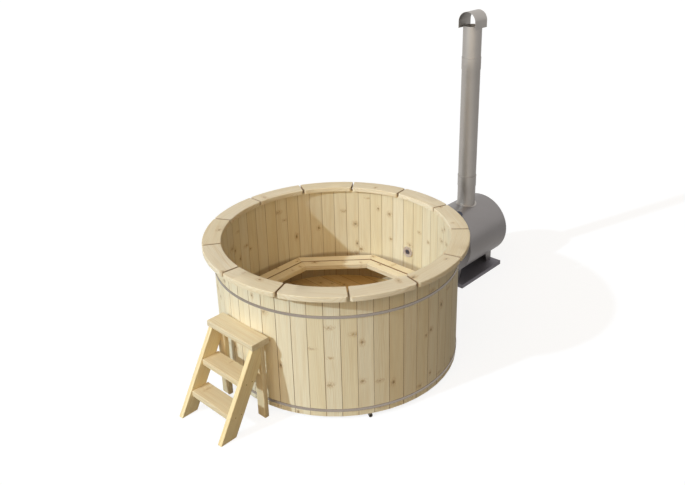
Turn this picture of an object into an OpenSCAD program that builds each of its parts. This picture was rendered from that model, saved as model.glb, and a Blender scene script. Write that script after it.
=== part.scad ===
// Round wooden hot tub with a wood-fired heater beside it and a step ladder.
// Millimetres. The origin is on the ground under the middle of the tub; +X points
// at the heater, -X at the ladder, +Z up.

/* [Tub wall] */
// Diameter of the wall over the corners of the staves
tub_d = 1800; // [1700:10:1900]
// Number of staves round the wall
stave_count = 52; // [48:4:56]
// Thickness of a stave
stave_t = 44; // [38:1:50]
// Length of a stave
stave_h = 920; // [860:10:980]
// Height of the lower ends of the staves above the ground
wall_lift = 30; // [26:1:45]
// Radius of the bead that one stave edge puts into the next
bead_r = 6; // [4:0.5:8]
// Chamfer on the outer corners of a stave, which makes the V lines
outer_chamfer = 2.5; // [1:0.5:4]
// Chamfer on the inner corners of a stave
inner_chamfer = 1.5; // [0.5:0.5:3]

/* [Floor] */
// Height of the top of the floor above the ground
floor_level = 150; // [140:2:170]
// Thickness of the floor boards
floor_t = 38; // [30:1:44]
// Number of floor boards side by side
floor_board_count = 14; // [14:2:14]
// Depth of the groove in the staves that holds the floor
croze_depth = 14; // [10:1:18]
// Width of a bearer under the floor
bearer_w = 70; // [50:2:80]
// Space between the drain's nut and the bearer beside it
bearer_clear = 13; // [8:1:30]

/* [Rim] */
// Number of boards in the rim
rim_count = 13; // [12:1:14]
// Overhang of the rim beyond the wall
rim_overhang = 75; // [60:1:90]
// Width of a rim board
rim_w = 138; // [125:1:150]
// Thickness of a rim board
rim_t = 35; // [28:1:42]
// Gap between two rim boards
rim_gap = 12; // [4:1:16]
// Radius of a rim board's corners, seen from above
rim_corner_r = 18; // [6:1:22]
// Radius of a rim board's upper edges
rim_edge_r = 6; // [3:1:10]

/* [Steel bands] */
// Height of a band
band_h = 20; // [16:1:30]
// Thickness of a band
band_t = 3; // [2:0.5:4]
// Distance from the top of the wall down to the middle of the upper band
upper_band_drop = 152; // [120:2:180]
// Distance from the bottom of the wall up to the middle of the lower band
lower_band_rise = 50; // [30:2:70]
// Direction of the clamp that closes each band
band_clamp_angle = 62; // [50:1:75]
// Diameter of the clamp bolts
band_bolt_d = 8; // [6:1:10]

/* [Bench] */
// Number of sides of the bench
bench_sides = 8; // [8:1:10]
// Height of the seat above the ground
bench_level = 370; // [360:5:400]
// Thickness of the bench planks
bench_t = 40; // [30:1:45]
// Width of a bench plank
bench_plank_w = 80; // [70:1:90]
// Gap between the two rows of planks
bench_gap = 9; // [2:1:12]
// Radius of the planks' long edges
bench_edge_r = 4; // [2:1:8]
// Thickness of a bracket under the bench
bracket_t = 36; // [28:1:45]

/* [Water ports] */
// Height of the upper port above the ground
upper_port_z = 480; // [460:5:520]
// Height of the lower port above the ground
lower_port_z = 190; // [188:1:210]
// Bore of the ports and water pipes
port_bore = 44; // [40:1:54]
// Wall of the port fittings and water pipes
port_wall = 4; // [3:0.5:5]
// Diameter of the upper port's flange inside the tub
port_flange_d = 90; // [84:1:94]
// Diameter of the lower port's flange, just over the floor
low_flange_d = 76; // [72:1:76]
// Thickness of the flange inside the tub
port_flange_t = 7; // [5:1:10]
// Thickness of the gasket under the flange
gasket_t = 3; // [2:0.5:4]
// Length of a port's tail beyond the wall
port_tail_l = 62; // [56:1:70]
// Length of a rubber sleeve
sleeve_l = 90; // [70:5:110]
// Wall of a rubber sleeve
sleeve_t = 5; // [4:0.5:6]

/* [Drain] */
// Direction of the drain pipe from the middle of the tub
drain_angle = -123; // [-126:1:-120]
// Outer diameter of the drain pipe
drain_pipe_d = 28; // [20:1:28]
// Wall of the drain pipe
drain_pipe_wall = 3; // [2:0.5:4]
// Distance that the drain pipe stands out beyond the wall
drain_reach = 4; // [0:1:40]
// Diameter of the drain flange on the floor
drain_flange_d = 70; // [62:1:76]

/* [Heater] */
// Diameter of the heater
shell_d = 558; // [530:2:580]
// Length of the heater
shell_l = 571; // [540:1:600]
// Thickness of the heater's outer sheet
shell_t = 3; // [2:0.5:4]
// Distance from the tub wall to the heater
heater_gap = 469; // [450:1:500]
// Diameter of the firebox
firebox_d = 400; // [385:1:420]
// Thickness of the firebox sheet
firebox_t = 4; // [3:0.5:6]
// Thickness of the heater's end plates
end_plate_t = 4; // [3:0.5:6]
// Water space between the near end plate and the firebox
back_water = 55; // [40:5:70]
// Height of the grate above the bottom of the firebox
grate_rise = 76; // [70:1:90]
// Length of the grate
grate_l = 360; // [330:5:390]

/* [Fire door] */
// Width of the door
door_w = 320; // [300:2:324]
// Height of the door
door_h = 260; // [240:2:270]
// Radius of the door's corners
door_corner_r = 18; // [12:1:24]
// Thickness of the door plate
door_t = 6; // [5:0.5:8]
// Depth of the folded edge round the door
door_skirt = 12; // [8:1:14]
// Depth of the frame that the door closes on
frame_depth = 25; // [20:1:30]
// Distance from the door edge in to the frame opening
door_overlap = 20; // [18:1:24]
// Thickness of the door seal
seal_t = 5; // [4:0.5:6]
// Diameter of a hinge pin
hinge_pin_d = 10; // [8:1:12]
// Length of one hinge knuckle
knuckle_l = 30; // [24:1:34]
// Length of the latch bar
latch_l = 125; // [118:1:132]
// Distance from the latch bar's pivot to the keeper
keeper_reach = 90; // [85:1:95]
// Diameter of the air damper
damper_d = 90; // [84:1:96]
// Height of the air damper's middle above the door's lower edge
damper_rise = 75; // [70:1:80]

/* [Feet and base] */
// Height of the base on the ground
base_h = 35; // [28:1:42]
// Width of the base
base_w = 450; // [420:5:480]
// Length of the base beyond each end of the heater
base_margin = 25; // [15:1:40]
// Thickness of the base and foot sheet
base_sheet = 3; // [2:0.5:4]
// Space between the base and the lowest line of the heater
heater_lift = 64; // [50:1:80]
// Width of a foot across the heater
foot_w = 260; // [230:2:290]
// Length of a foot at the base
foot_l = 68; // [55:1:85]
// How much longer a foot is for each millimetre of its height
foot_flare = 0.3; // [0:0.05:0.4]

/* [Chimney] */
// Diameter of the chimney pipe
flue_d = 157; // [150:1:164]
// Wall of the chimney pipe
flue_t = 2.5; // [2:0.25:3]
// Distance from the near end of the heater to the chimney
flue_offset = 319; // [300:1:340]
// Height of the lowest socket's mouth above the heater
lower_flue_l = 270; // [240:5:300]
// Distance from the lower socket's mouth to the upper one's
middle_flue_l = 1055; // [1000:5:1100]
// Height of the top of the chimney above the upper socket
upper_flue_l = 261; // [240:1:280]
// Length of a socket
socket_l = 98; // [80:1:110]
// Space between the pipe and the sides of the cowl
cowl_clear = 3.5; // [3:0.5:8]
// Length of the cowl
cowl_l = 172; // [160:2:190]
// Height of the cowl's straight sides
cowl_side_h = 56; // [50:1:70]
// How far the cowl's sides reach down past the pipe's mouth
cowl_drop = 17; // [14:1:30]
// Thickness of the cowl
cowl_t = 2; // [1.5:0.5:3]
// Diameter of the air vent's cap on the heater
vent_d = 58; // [44:1:62]

/* [Ladder] */
// Width of the ladder
ladder_w = 460; // [420:5:500]
// Height of the ladder
ladder_h = 610; // [590:5:640]
// Lean of the side boards from upright, in degrees
ladder_lean = 29; // [27:0.5:30]
// Depth of a side board where it stands on the ground
stringer_foot = 129; // [120:1:138]
// Thickness of a side board
stringer_t = 38; // [30:1:44]
// Depth of the top tread
top_tread_d = 141; // [134:1:150]
// Overhang of the top tread beyond the side boards, in front and at both sides
tread_overhang = 6; // [2:1:10]
// Depth of the two lower treads
tread_d = 138; // [128:1:150]
// Thickness of the treads
tread_t = 44; // [36:1:48]
// Height of the middle tread
middle_tread_z = 367; // [355:1:380]
// Height of the lower tread
lower_tread_z = 170; // [160:1:185]
// Width of a rear leg
leg_w = 76; // [55:1:80]
// Depth of a rear leg
leg_d = 35; // [28:1:36]
// Radius of the long edges of the ladder's boards
ladder_edge_r = 5; // [2:1:8]

/* [Hidden] */
$fn = 64;

// Clearances
joint_gap = 0.2;      // between the faces of neighbouring boards
bead_gap = 0.3;       // round a bead in its cove
bead_sink = 0.5;      // how far a bead's middle lies inside its own stave
seat_gap = 0.3;       // between a curved face and its seat
fit_gap = 0.3;        // round a tube in a socket or a hole
run_gap = 0.06;       // round a pin that something turns on
eps = 1;              // how far a cut runs past a face

// Tub wall
tub_r = tub_d / 2;
stave_half = 180 / stave_count;
wall_out = tub_r * cos(stave_half);        // to the middle of a stave's outer face
wall_in = wall_out - stave_t;              // to the middle of a stave's inner face
wall_top = wall_lift + stave_h;
lining_r = wall_in - seat_gap;             // what sits against the inside of the wall
band_r = norm([wall_out, wall_out * tan(stave_half) - outer_chamfer]) + 0.05;

// Floor
floor_under = floor_level - floor_t;
croze_r = wall_in + croze_depth;
floor_r = croze_r - 1;
floor_board_w = 2 * floor_r / floor_board_count;
tongue_l = 8;
tongue_t = 10;

// Rim
rim_out = tub_r + rim_overhang;
rim_in = rim_out - rim_w;
rim_half = 180 / rim_count;
rim_start = 360 / stave_count + rim_half;  // first board's middle: its joint is over a stave's middle

// Bench
bench_half = 180 / bench_sides;
bench_out = (lining_r - 1) * cos(bench_half);
bench_mid = bench_out - bench_plank_w - bench_gap;
bench_in = bench_mid - bench_plank_w;
bench_under = bench_level - bench_t;
bracket_l = 130;
bracket_h = 105;
bracket_foot = 30;                         // what is left of a bracket at its two tips

// Water ports
port_r = port_bore / 2 + port_wall;
tail_end = wall_out + port_tail_l;
nut_t = 14;
nut_wall = 11;
nut_across = 2 * (port_r + nut_wall);
near_x = tub_r + heater_gap;
far_x = near_x + shell_l;
pipe_gap = 2;                              // between a tail's end and the pipe's
pipe_inside = 10;                          // how far a pipe reaches into the heater
clamp_w = 12;
clamp_t = 1.5;
clamp_inset = 10;                          // from a sleeve's end to its clamp
clamp_lug = 9;

// Drain
drain_board = floor_board_count / 2 - 3;
drain_x = -floor_r + (drain_board + 0.5) * floor_board_w;
drain_y = drain_x * tan(drain_angle);
drain_r = norm([drain_x, drain_y]);
drain_pipe_r = drain_pipe_d / 2;
drain_axis_z = drain_pipe_r + 1;
drain_bend_r = 2 * drain_pipe_r;
drain_tail_wall = 7;
drain_tail_r = drain_pipe_r + fit_gap + drain_tail_wall;
drain_tail_l = 60;
drain_socket = 20;                         // how far the pipe reaches up into the tail
drain_flange_t = 3;
drain_nut_t = 10;
drain_nut_r = drain_tail_r + 8;            // over the corners
bearer_spacing = abs(drain_y) - drain_nut_r - bearer_clear - bearer_w / 2;
plug_seat_l = 14;
plug_flare = 5;
plug_stem_r = 6;
plug_stem_l = 22;
plug_knob_r = 13;
plug_knob_z = 28;

// Heater
shell_r = shell_d / 2;
axis_z = base_h + heater_lift + shell_r;
shell_top = axis_z + shell_r;
plate_r = shell_r - shell_t - joint_gap;
firebox_r = firebox_d / 2;
firebox_x = near_x + end_plate_t + back_water;
firebox_end = far_x - end_plate_t;
flue_x = near_x + flue_offset;
grate_t = 8;
grate_z = axis_z - firebox_r + firebox_t + grate_rise;
grate_half = sqrt(pow(firebox_r - firebox_t, 2) - pow(axis_z - grate_z, 2)) - seat_gap;
grate_slots = 9;
grate_gap = 20;                            // between the firebox's back and the grate
grate_bar = 12;

// Fire door
opening_w = door_w - 2 * door_overlap;
opening_h = door_h - 2 * door_overlap;
frame_t = 4;
frame_x = far_x + frame_depth;
door_x = frame_x + seat_gap + seal_t;
door_face = door_x + door_t;
door_sheet = 3;
knuckle_r = hinge_pin_d / 2 + 5;
hinge_y = door_w / 2 + knuckle_r + 12;
hinge_x = door_face;
hinge_rise = 65;
strap_t = 4;
strap_l = 90;
latch_y = -(door_w / 2 - 30);
latch_w = 12;
latch_t = 8;
latch_hub_r = 13;
stud_r = 6;
stud_head_r = 9;
keeper_y = latch_y - keeper_reach;
keeper_w = 26;
keeper_t = 5;
keeper_gap = 1;
damper_z = axis_z - door_h / 2 + damper_rise;
damper_t = 3;
vent_hole_r = 9;
vent_ring_r = 27;
damper_stud_r = 4;

// Chimney
flue_r = flue_d / 2;
flue_in = flue_r - flue_t;
socket_in = flue_r + fit_gap;
socket_out = socket_in + flue_t;
socket_bead = 1.2;
socket_taper = 12;
flange_w = 14;                             // of the flange at the foot of the chimney
flange_t = 3;
throat_out = flue_in - fit_gap;
throat_t = 3;
throat_edge = 6;                           // how far the throat reaches into the firebox
throat_top = shell_top + 60;
lower_mouth = shell_top + lower_flue_l;
upper_mouth = lower_mouth + middle_flue_l;
flue_top = upper_mouth + upper_flue_l;
cowl_r = flue_r + cowl_clear;
cowl_z = flue_top - cowl_drop;
vent_x = near_x + 61;
vent_neck_r = 14;
vent_lean = 21;

// Ladder
ladder_back = -(wall_out + seat_gap);      // the top tread's rear edge at the wall
tread_under = ladder_h - tread_t;
lean_run = tan(ladder_lean);
leg_back = ladder_back - 36;
leg_front = leg_back - leg_d;
stringer_top_front = ladder_back - top_tread_d + tread_overhang;
stringer_front = stringer_top_front - tread_under * lean_run;
tread_inset = 5;
screw_r = 2.5;
screw_head_r = 5;
screw_l = 70;

function two(i) = i < 10 ? str("0", i) : str(i);
rim_names = [for (i = [1:rim_count]) str("rim_board_", two(i))];

// ---- shapes shared by several pieces ----

// A cylinder that lies along +X
module rod_x(r, l) { rotate([0, 90, 0]) cylinder(r = r, h = l); }

// A tube that lies along +X
module tube_x(r_out, r_in, l) {
    difference() {
        rod_x(r_out, l);
        translate([-eps, 0, 0]) rod_x(r_in, l + 2 * eps);
    }
}

// A plate that stands across +X, with rounded corners, centred on the X axis
module plate_x(w, h, t, r) {
    rotate([90, 0, 90]) linear_extrude(t) rounded_rect(w, h, r);
}

// A rectangle with round corners, centred
module rounded_rect(w, h, r) {
    square([w - 2 * r, h], center = true);
    square([w, h - 2 * r], center = true);
    for (x = [-1, 1], y = [-1, 1])
        translate([x * (w / 2 - r), y * (h / 2 - r)]) circle(r);
}

// A hexagon nut or bolt head that lies along +X
module hex_x(across, t) { rotate([0, 90, 0]) cylinder(d = across / cos(30), h = t, $fn = 6); }

// ---- tub wall ----

// Half width of a stave at distance x from the middle of the tub
function stave_y(x) = x * tan(stave_half) - joint_gap / 2 / cos(stave_half);

// One stave seen from above, centred on +X, without its bead and cove
module stave_profile() {
    side = [[wall_in, stave_y(wall_in) - inner_chamfer],
            [wall_in + inner_chamfer, stave_y(wall_in + inner_chamfer)],
            [wall_out - outer_chamfer, stave_y(wall_out - outer_chamfer)],
            [wall_out, stave_y(wall_out) - outer_chamfer]];
    polygon(concat(side, [for (i = [3:-1:0]) [side[i][0], -side[i][1]]]));
}

// A stave with a bead at +Y, a cove at -Y and the groove for the floor, bored at the
// heights of its ports if it has any
module stave(port_heights = []) {
    mid = (wall_in + wall_out) / 2;
    bead_y = stave_y(mid) - bead_sink;
    cove_y = -stave_y(mid) - joint_gap - bead_sink;
    difference() {
        translate([0, 0, wall_lift]) {
            linear_extrude(stave_h) stave_profile();
            translate([mid, bead_y, 0]) cylinder(r = bead_r, h = stave_h);
        }
        translate([mid, cove_y, wall_lift - eps]) cylinder(r = bead_r + bead_gap, h = stave_h + 2 * eps);
        translate([0, 0, floor_under - joint_gap])
            cylinder(r = croze_r, h = floor_t + 2 * joint_gap, $fn = 128);
        for (z = port_heights)
            translate([wall_in - eps, 0, z]) rod_x(port_r + fit_gap, stave_t + 2 * eps);
    }
}

module staves() {
    color("burlywood")
    for (i = [1:stave_count - 1]) rotate(i * 360 / stave_count) stave();
}

// The stave that faces the heater
module ported_stave() { color("burlywood") stave([upper_port_z, lower_port_z]); }

// ---- rim ----

// Takes the corner off where an edge meets an arc: c is the middle of the corner's
// circle, across points out over the edge and along points out over the arc
module corner_cut(c, across, along) {
    far = 3 * rim_corner_r;
    difference() {
        polygon([c, c + far * across, c + far * (across + along), c + far * along]);
        translate(c) circle(rim_corner_r);
    }
}

// One rim board seen from above, centred on +X
module rim_profile() {
    dir = [cos(rim_half), sin(rim_half)];
    inward = [sin(rim_half), -cos(rim_half)];
    off = rim_gap / 2 + rim_corner_r;
    outer_c = dir * sqrt(pow(rim_out - rim_corner_r, 2) - off * off) + off * inward;
    inner_c = dir * sqrt(pow(rim_in + rim_corner_r, 2) - off * off) + off * inward;
    apex = [rim_gap / 2 / sin(rim_half), 0];
    reach = 2 * rim_out;
    difference() {
        intersection() {
            difference() {
                circle(rim_out, $fn = 180);
                circle(rim_in, $fn = 180);
            }
            polygon([apex, apex + reach * [dir[0], -dir[1]], apex + reach * dir]);
        }
        for (m = [0, 1]) mirror([0, m]) {
            corner_cut(outer_c, -inward, outer_c / norm(outer_c));
            corner_cut(inner_c, -inward, -inner_c / norm(inner_c));
        }
    }
}

// The section of the rim, with round upper edges
module rim_section() {
    translate([rim_in, 0]) square([rim_w, rim_t - rim_edge_r]);
    translate([rim_in + rim_edge_r, 0]) square([rim_w - 2 * rim_edge_r, rim_t]);
    for (x = [rim_in + rim_edge_r, rim_out - rim_edge_r])
        translate([x, rim_t - rim_edge_r]) circle(rim_edge_r);
}

module rim_board(i) {
    color("wheat")
    rotate(rim_start + (i - 1) * 2 * rim_half)
    translate([0, 0, wall_top])
    intersection() {
        linear_extrude(rim_t) rim_profile();
        rotate_extrude($fn = 180) rim_section();
    }
}

// ---- steel bands ----

lug_l = 30;
lug_space = 16;

// The two bands, each split at its clamp, where its ends turn out to lugs
module bands() {
    color("silver")
    for (z = [upper_band_z, lower_band_z])
    rotate(band_clamp_angle)
    translate([0, 0, z - band_h / 2])
    difference() {
        union() {
            difference() {
                cylinder(r = band_r + band_t, h = band_h, $fn = 180);
                translate([0, 0, -eps]) cylinder(r = band_r, h = band_h + 2 * eps, $fn = 180);
                translate([0, -lug_space / 2, -eps]) cube([tub_d, lug_space, band_h + 2 * eps]);
            }
            for (s = [-1, 1])
                translate([band_r + band_t / 2, s * (lug_space / 2 + band_t / 2) - band_t / 2, 0])
                    cube([lug_l, band_t, band_h]);
        }
        translate([band_r + lug_l * 0.6, -lug_space, band_h / 2]) rotate([-90, 0, 0])
            cylinder(d = band_bolt_d + 2 * fit_gap, h = 2 * lug_space);
    }
}

// The bolts and nuts that draw each band's lugs together
module band_bolts() {
    side = lug_space / 2 + band_t;
    head = band_bolt_d * 0.65;
    spare = 4;
    color("gray")
    for (z = [upper_band_z, lower_band_z])
        rotate(band_clamp_angle)
        translate([band_r + lug_l * 0.6, 0, z]) rotate([0, 0, 90]) {
            translate([-side - head - spare, 0, 0])
                rod_x(band_bolt_d / 2, 2 * side + 2 * head + spare);
            for (x = [side, -side - head])
                translate([x, 0, 0]) hex_x(band_bolt_d * 1.6, head);
        }
}

upper_band_z = wall_top - upper_band_drop;
lower_band_z = wall_lift + lower_band_rise;

// ---- floor ----

// One floor board, with its tongue at +X and its groove at -X
module floor_board(i) {
    x = -floor_r + i * floor_board_w;
    w = floor_board_w - joint_gap;
    mid = floor_t / 2;
    intersection() {
        translate([0, 0, floor_under]) cylinder(r = floor_r, h = floor_t, $fn = 128);
        translate([x, floor_r, floor_under]) rotate([90, 0, 0]) linear_extrude(2 * floor_r)
            difference() {
                union() {
                    square([w, floor_t]);
                    if (i < floor_board_count - 1)
                        translate([0, mid - tongue_t / 2]) square([w + tongue_l, tongue_t]);
                }
                if (i > 0)
                    translate([-eps, mid - tongue_t / 2 - joint_gap])
                        square([tongue_l + joint_gap + eps, tongue_t + 2 * joint_gap]);
            }
    }
}

module floor_boards() {
    color("peru")
    for (i = [0:floor_board_count - 1])
        difference() {
            floor_board(i);
            if (i == drain_board)
                translate([drain_x, drain_y, floor_under - eps])
                    cylinder(r = drain_tail_r + fit_gap, h = floor_t + 2 * eps);
        }
}

// Bearers that stand on the ground inside the staves and carry the floor
module bearers() {
    color("tan")
    for (y = [-1, 0, 1] * bearer_spacing) {
        half = sqrt(pow(lining_r - 4, 2) - pow(abs(y) + bearer_w / 2, 2));
        translate([-half, y - bearer_w / 2, 0]) cube([2 * half, bearer_w, floor_under]);
    }
}

// ---- bench ----

// One mitred plank of the bench, centred on +X, between two distances from the middle
module bench_plank(r_in, r_out) {
    w = r_out - r_in;
    reach = 2 * tub_r;
    apex = joint_gap / sin(bench_half);
    intersection() {
        translate([r_in + w / 2, tub_r, bench_under + bench_t / 2])
            rotate([90, 0, 0]) linear_extrude(tub_d) rounded_rect(w, bench_t, bench_edge_r);
        translate([0, 0, bench_under - eps]) linear_extrude(bench_t + 2 * eps)
            polygon([[apex, 0],
                     [apex + reach * cos(bench_half), -reach * sin(bench_half)],
                     [apex + reach * cos(bench_half), reach * sin(bench_half)]]);
    }
}

module bench_row(r_in, r_out) {
    for (i = [0:bench_sides - 1]) rotate(i * 360 / bench_sides) bench_plank(r_in, r_out);
}

module bench_outer_planks() { color("wheat") bench_row(bench_mid + bench_gap, bench_out); }

module bench_inner_planks() { color("wheat") bench_row(bench_in, bench_mid); }

// Three-cornered brackets on the wall, one under each corner of the bench
module bench_brackets() {
    color("burlywood")
    for (i = [0:bench_sides - 1]) rotate((i + 0.5) * 360 / bench_sides)
        intersection() {
            translate([0, bracket_t / 2, bench_under]) rotate([90, 0, 0]) linear_extrude(bracket_t)
                polygon([[wall_in, 0], [wall_in, -bracket_h], [wall_in - bracket_foot, -bracket_h],
                         [wall_in - bracket_l, -bracket_foot], [wall_in - bracket_l, 0]]);
            cylinder(r = lining_r, h = bench_level, $fn = 360);
        }
}

// ---- water ports and pipes ----

// The height and the flange's diameter of each port
ports = [[upper_port_z, port_flange_d], [lower_port_z, low_flange_d]];

// Fittings through the wall: their flanges are inside the tub and their tails outside
module port_fittings() {
    flange_x = wall_in - gasket_t - port_flange_t;
    color("lightgray")
    for (port = ports) translate([flange_x, 0, port[0]])
    difference() {
        union() {
            rod_x(port[1] / 2, port_flange_t);
            rod_x(port_r, tail_end - flange_x);
        }
        translate([-eps, 0, 0]) rod_x(port_bore / 2, tail_end - flange_x + 2 * eps);
    }
}

module port_gaskets() {
    color("dimgray")
    for (port = ports)
        translate([wall_in - gasket_t, 0, port[0]])
            tube_x(port[1] / 2 - 2, port_r + fit_gap, gasket_t);
}

module port_nuts() {
    color("lightgray")
    for (z = [upper_port_z, lower_port_z])
        translate([wall_out, 0, z])
        difference() {
            hex_x(nut_across, nut_t);
            translate([-eps, 0, 0]) rod_x(port_r + fit_gap, nut_t + 2 * eps);
        }
}

// Two pipes, each from the end of its port's tail into the heater
module water_pipes() {
    start = tail_end + pipe_gap;
    color("silver")
    for (z = [upper_port_z, lower_port_z]) translate([start, 0, z])
        tube_x(port_r, port_bore / 2, near_x + end_plate_t + pipe_inside - start);
}

sleeve_x = tail_end + pipe_gap / 2 - sleeve_l / 2;

// Rubber sleeves that join the ports' tails to the pipes
module pipe_sleeves() {
    color("dimgray")
    for (z = [upper_port_z, lower_port_z])
        translate([sleeve_x, 0, z]) tube_x(port_r + fit_gap + sleeve_t, port_r + fit_gap, sleeve_l);
}

module sleeve_clamps() {
    r = port_r + fit_gap + sleeve_t + joint_gap;
    ends = [sleeve_x + clamp_inset, sleeve_x + sleeve_l - clamp_inset - clamp_w];
    color("silver")
    for (z = [upper_port_z, lower_port_z], x = ends)
        translate([x, 0, z]) {
            tube_x(r + clamp_t, r, clamp_w);
            translate([0, -clamp_lug, r + clamp_t / 2]) cube([clamp_w, 2 * clamp_lug, clamp_lug]);
        }
}

// ---- drain ----

module at_drain() { translate([drain_x, drain_y, 0]) rotate(drain_angle) children(); }

// The drain's flange lies on the floor, with a conical seat for the plug
module drain_fitting() {
    bottom = floor_level - drain_tail_l;
    bore = drain_pipe_r + fit_gap;
    color("lightgray")
    at_drain() difference() {
        union() {
            translate([0, 0, floor_level]) cylinder(d = drain_flange_d, h = drain_flange_t);
            translate([0, 0, bottom]) cylinder(r = drain_tail_r, h = drain_tail_l + eps);
        }
        translate([0, 0, bottom - eps]) cylinder(r = bore, h = drain_tail_l + drain_flange_t + 2 * eps);
        translate([0, 0, floor_level + drain_flange_t - plug_seat_l])
            cylinder(r1 = bore, r2 = bore + plug_flare, h = plug_seat_l + 0.01);
    }
}

module drain_nut() {
    color("lightgray")
    at_drain() translate([0, 0, floor_under - drain_nut_t]) difference() {
        cylinder(r = drain_nut_r, h = drain_nut_t, $fn = 6);
        translate([0, 0, -eps]) cylinder(r = drain_tail_r + fit_gap, h = drain_nut_t + 2 * eps);
    }
}

// A tapered plug with a knob to pull it by
module drain_plug() {
    bore = drain_pipe_r + fit_gap;
    top = floor_level + drain_flange_t;
    color("dimgray")
    at_drain() {
        translate([0, 0, top - plug_seat_l])
            cylinder(r1 = bore - seat_gap, r2 = bore + plug_flare - seat_gap, h = plug_seat_l);
        translate([0, 0, top - joint_gap]) cylinder(r = plug_stem_r, h = plug_stem_l);
        translate([0, 0, top + plug_knob_z]) sphere(plug_knob_r);
    }
}

// The pipe drops from the fitting, turns and runs out under the wall
module drain_pipe() {
    top = floor_level - drain_tail_l + drain_socket;
    run = tub_r + drain_reach - drain_r - drain_bend_r;
    color("dimgray")
    at_drain() {
        translate([0, 0, drain_axis_z + drain_bend_r]) drain_tube(top - drain_axis_z - drain_bend_r);
        translate([drain_bend_r, 0, drain_axis_z]) rotate([0, 90, 0]) drain_tube(run);
        translate([drain_bend_r, 0, drain_axis_z + drain_bend_r]) rotate([90, 0, 0]) rotate(180)
            rotate_extrude(angle = 90) translate([drain_bend_r, 0]) difference() {
                circle(drain_pipe_r);
                circle(drain_pipe_r - drain_pipe_wall);
            }
    }
}

module drain_tube(l) {
    difference() {
        cylinder(r = drain_pipe_r, h = l);
        translate([0, 0, -eps]) cylinder(r = drain_pipe_r - drain_pipe_wall, h = l + 2 * eps);
    }
}

// ---- heater ----

module at_axis(x) { translate([x, 0, axis_z]) children(); }

module at_flue(z) { translate([flue_x, 0, z]) children(); }

module at_vent() { at_axis(vent_x) rotate([vent_lean, 0, 0]) children(); }

module heater_shell() {
    color("gray")
    difference() {
        at_axis(near_x) tube_x(shell_r, shell_r - shell_t, shell_l);
        at_flue(axis_z) cylinder(r = throat_out + fit_gap, h = shell_d);
        at_vent() cylinder(r = vent_neck_r + fit_gap, h = shell_d);
    }
}

// The end that faces the tub, with holes for the water pipes
module near_end_plate() {
    color("gray")
    difference() {
        at_axis(near_x) rod_x(plate_r, end_plate_t);
        for (z = [upper_port_z, lower_port_z])
            translate([near_x - eps, 0, z]) rod_x(port_r + fit_gap, end_plate_t + 2 * eps);
    }
}

// The firebox is a closed tube inside the shell, with water round it
module firebox() {
    color("dimgray")
    difference() {
        at_axis(firebox_x) rod_x(firebox_r, firebox_end - firebox_x);
        at_axis(firebox_x + firebox_t) rod_x(firebox_r - firebox_t, firebox_end - firebox_x);
        at_flue(axis_z) cylinder(r = throat_out + fit_gap, h = shell_d);
    }
}

// The throat leads the smoke up through the water to the chimney
module flue_throat() {
    color("dimgray")
    difference() {
        at_flue(axis_z) cylinder(r = throat_out, h = throat_top - axis_z);
        at_flue(axis_z - eps) cylinder(r = throat_out - throat_t, h = throat_top - axis_z + 2 * eps);
        at_axis(near_x) rod_x(firebox_r - firebox_t - throat_edge, shell_l);
    }
}

// A slotted grate that lies across the firebox
module grate() {
    pitch = 2 * grate_half / (grate_slots + 1);
    slot_w = pitch - grate_bar;
    color("dimgray")
    translate([firebox_x + firebox_t + grate_gap, 0, grate_z]) difference() {
        translate([0, -grate_half, 0]) cube([grate_l, 2 * grate_half, grate_t]);
        for (i = [1:grate_slots], j = [0, 1])
            translate([grate_bar + j * grate_l / 2, -grate_half + i * pitch - slot_w / 2, -eps])
                cube([grate_l / 2 - 2 * grate_bar, slot_w, grate_t + 2 * eps]);
    }
}

// Heights of the two hinges' lower knuckles
hinge_zs = [axis_z - hinge_rise - knuckle_l, axis_z + hinge_rise - knuckle_l];

// The end with the fire opening and the hinges' fixed knuckles
module far_end_plate() {
    color("gray")
    difference() {
        union() {
            at_axis(far_x - end_plate_t) rod_x(plate_r, end_plate_t);
            for (z = hinge_zs) {
                translate([hinge_x, hinge_y, z]) cylinder(r = knuckle_r, h = knuckle_l);
                translate([far_x - joint_gap, hinge_y, z])
                    cube([hinge_x - far_x, knuckle_r, knuckle_l]);
            }
        }
        at_axis(far_x - end_plate_t - eps)
            plate_x(opening_w, opening_h, end_plate_t + 2 * eps, door_corner_r - frame_t);
        for (z = hinge_zs) translate([hinge_x, hinge_y, z - eps])
            cylinder(d = hinge_pin_d + 2 * run_gap, h = knuckle_l + 2 * eps);
    }
}

// The frame round the fire opening, which the door closes on
module door_frame() {
    color("gray")
    at_axis(far_x) difference() {
        plate_x(opening_w + 2 * frame_t, opening_h + 2 * frame_t, frame_depth, door_corner_r);
        translate([-eps, 0, 0])
            plate_x(opening_w, opening_h, frame_depth + 2 * eps, door_corner_r - frame_t);
    }
}

latch_x = door_face + seat_gap;                    // back of the latch bar
keeper_tab_x = latch_x + latch_t + keeper_gap;

// The keeper: a shelf that stops the latch bar and a lip in front of it
module latch_keeper() {
    color("gray")
    translate([far_x, keeper_y - keeper_w / 2, axis_z - latch_w / 2 - keeper_gap - keeper_t]) {
        cube([keeper_tab_x + keeper_t - far_x, keeper_w, keeper_t]);
        translate([keeper_tab_x - far_x, 0, 0])
            cube([keeper_t, keeper_w, keeper_t + keeper_gap + latch_w]);
    }
}

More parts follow.
